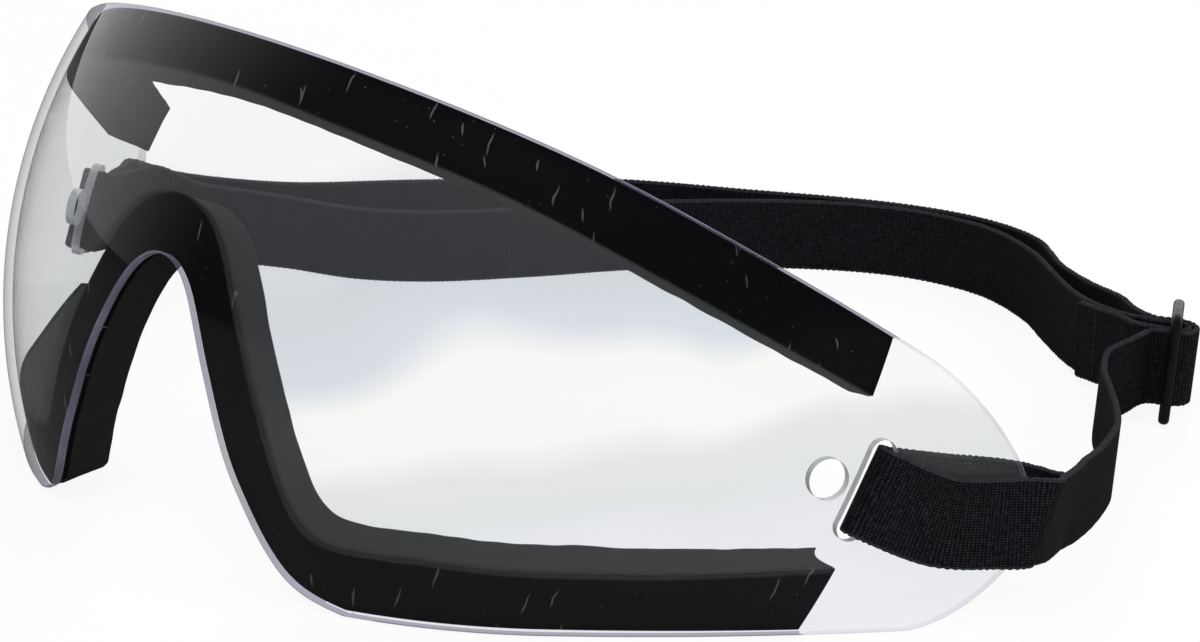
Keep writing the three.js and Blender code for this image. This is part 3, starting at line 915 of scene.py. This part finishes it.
def stitching(name, node, index, face):
    """The row sits at one station, on the webbing's right (1) or left (-1) going along the path."""
    place = path[index][0]
    sample = int(np.argmin(np.linalg.norm(centres - place, axis=1)))
    ahead, side, out = forward[sample], sides[sample], normals[sample] * face
    verts, quads = [], []
    for k in range(STITCHES):
        middle = place + side * (k - (STITCHES - 1) / 2) * STITCH_PITCH
        middle = middle + out * (STRAP_THICKNESS / 2 + STITCH["rise"])
        base = len(verts)
        for i in range(STITCH_RINGS + 1):
            t = -1 + 2 * i / STITCH_RINGS
            radius = STITCH["radius"] * math.sqrt(max(1 - t**4, 0.05))
            centre = middle + side * t * STITCH["reach"] + ahead * t * STITCH["slant"]
            centre = centre - out * STITCH["sink"] * t * t
            for j in range(STITCH_SIDES):
                a = 2 * math.pi * j / STITCH_SIDES
                verts.append(centre + (ahead * math.cos(a) + out * math.sin(a)) * radius)
        rings = base + np.arange((STITCH_RINGS + 1) * STITCH_SIDES).reshape(-1, STITCH_SIDES)
        for a, b in zip(rings, rings[1:]):
            quads += ring_faces(a, b).tolist()
        quads += [rings[0][::-1].tolist(), rings[-1].tolist()]
    mesh_object(name, metres(verts), quads, "strap", node, [thread])


stitching("loop_stitches", "loop_stitching", len(head), 1)
stitching("slider_stitches", "slider_stitching", len(path) - 2, -1)


# Floor, light and camera, in metres.

FLOOR_REACH, FLOOR_GAP = 6, 0.0002
ROOM_SWEEP = (-0.63, 0.776, 0.0)
LIGHT_TARGET = (0, 0, 0.03)


def white_stage():
    """A floor that is white to the camera and dim in reflections, and still takes the shadow."""
    m, nodes, links, shader = material("stage_white")
    shader.inputs["Base Color"].default_value = (0.8, 0.8, 0.8, 1)
    shader.inputs["Roughness"].default_value = 1.0
    shader.inputs["Specular IOR Level"].default_value = 0.0
    glow = nodes.new("ShaderNodeEmission")
    glow.inputs["Color"].default_value = (1, 1, 1, 1)
    rays = nodes.new("ShaderNodeLightPath").outputs
    seen = calc(nodes, links, "MAXIMUM", rays["Is Camera Ray"], rays["Is Transmission Ray"])
    either = calc(nodes, links, "MAXIMUM", seen, rays["Is Glossy Ray"])
    strength = map_range(nodes, links, seen, 0.0, 1.0, 0.07, 1.0)
    links.new(strength.outputs[0], glow.inputs["Strength"])
    mix = mix_shader(nodes, links, calc(nodes, links, "MULTIPLY", either, 0.9), shader, glow)
    links.new(mix.outputs[0], nodes["Material Output"].inputs["Surface"])
    return m


def white_room():
    """A white world to the camera; reflections see it pale behind the goggles and dim in front."""
    world = bpy.data.worlds.new("studio")
    bpy.context.scene.world = world
    world.use_nodes = True
    nodes, links = world.node_tree.nodes, world.node_tree.links
    background = nodes["Background"]
    background.inputs["Color"].default_value = (1, 1, 1, 1)
    rays = nodes.new("ShaderNodeLightPath").outputs
    seen = calc(nodes, links, "MAXIMUM", rays["Is Camera Ray"], rays["Is Transmission Ray"])
    direction = nodes.new("ShaderNodeTexCoord")
    behind = nodes.new("ShaderNodeVectorMath")
    behind.operation = "DOT_PRODUCT"
    behind.inputs[1].default_value = ROOM_SWEEP
    links.new(direction.outputs["Generated"], behind.inputs[0])
    room = map_range(nodes, links, behind.outputs["Value"], -0.35, 0.75, 0.05, 1.0)
    room.interpolation_type = "SMOOTHSTEP"
    plain = nodes.new("ShaderNodeMix")
    plain.inputs[2].default_value = 0.5
    links.new(rays["Is Glossy Ray"], plain.inputs[0])
    links.new(room.outputs[0], plain.inputs[3])
    links.new(calc(nodes, links, "MAXIMUM", plain.outputs[0], seen), background.inputs["Strength"])


floor_mesh = bpy.data.meshes.new("floor")
corners = [(x * FLOOR_REACH, y * FLOOR_REACH, 0) for x, y in ((-1, -1), (1, -1), (1, 1), (-1, 1))]
floor_mesh.from_pydata(corners, [], [(0, 1, 2, 3)])
floor_mesh.materials.append(white_stage())
floor = bpy.data.objects.new("floor", floor_mesh)
floor.location = (0, 0, cad_bounds[0][2] - FLOOR_GAP)
bpy.context.scene.collection.objects.link(floor)

white_room()


def area_light(name, location, size, power):
    data = bpy.data.lights.new(name, "AREA")
    data.shape = "RECTANGLE"
    data.size, data.size_y = size
    data.energy = power
    obj = bpy.data.objects.new(name, data)
    obj.location = location
    direction = Vector(LIGHT_TARGET) - Vector(location)
    obj.rotation_euler = direction.to_track_quat("-Z", "Y").to_euler()
    bpy.context.scene.collection.objects.link(obj)
    obj.visible_glossy = False
    obj.visible_transmission = False


area_light("key", (0.5, -0.9, 1.1), (0.9, 0.6), 14)
area_light("side", (1.2, 0.3, 0.6), (0.5, 0.8), 7)
area_light("back", (-0.7, 1.0, 0.9), (0.9, 0.5), 8)


# The photograph's viewpoint, in the same millimetres as the stations above.
CAMERA_PLACE = (403.453, -393.543, 230.244)
CAMERA_LENS, SENSOR_WIDTH = 111.66, 36.0
YAW, PITCH, ROLL = (math.radians(a) for a in (39.0686, 18.2548, 4.8170))


def camera_matrix():
    """Turned YAW from +Y towards -X, tipped PITCH below level, and rolled to raise its right side."""
    level = np.array([math.cos(YAW), math.sin(YAW), 0])
    ahead = np.array([-level[1], level[0], 0]) * math.cos(PITCH) - UPRIGHT * math.sin(PITCH)
    right = level * math.cos(ROLL) + np.cross(level, ahead) * math.sin(ROLL)
    matrix = np.eye(4)
    matrix[:3, 0], matrix[:3, 1], matrix[:3, 2] = right, np.cross(right, ahead), -ahead
    matrix[:3, 3] = metres(CAMERA_PLACE)
    return matrix


camera_data = bpy.data.cameras.new("camera")
camera_data.lens = CAMERA_LENS
camera_data.sensor_width = SENSOR_WIDTH
camera_data.clip_start = 0.01
camera = bpy.data.objects.new("camera", camera_data)
camera.matrix_world = Matrix(camera_matrix().tolist())
bpy.context.scene.collection.objects.link(camera)
bpy.context.scene.camera = camera
bpy.context.scene.view_settings.view_transform = "Standard"
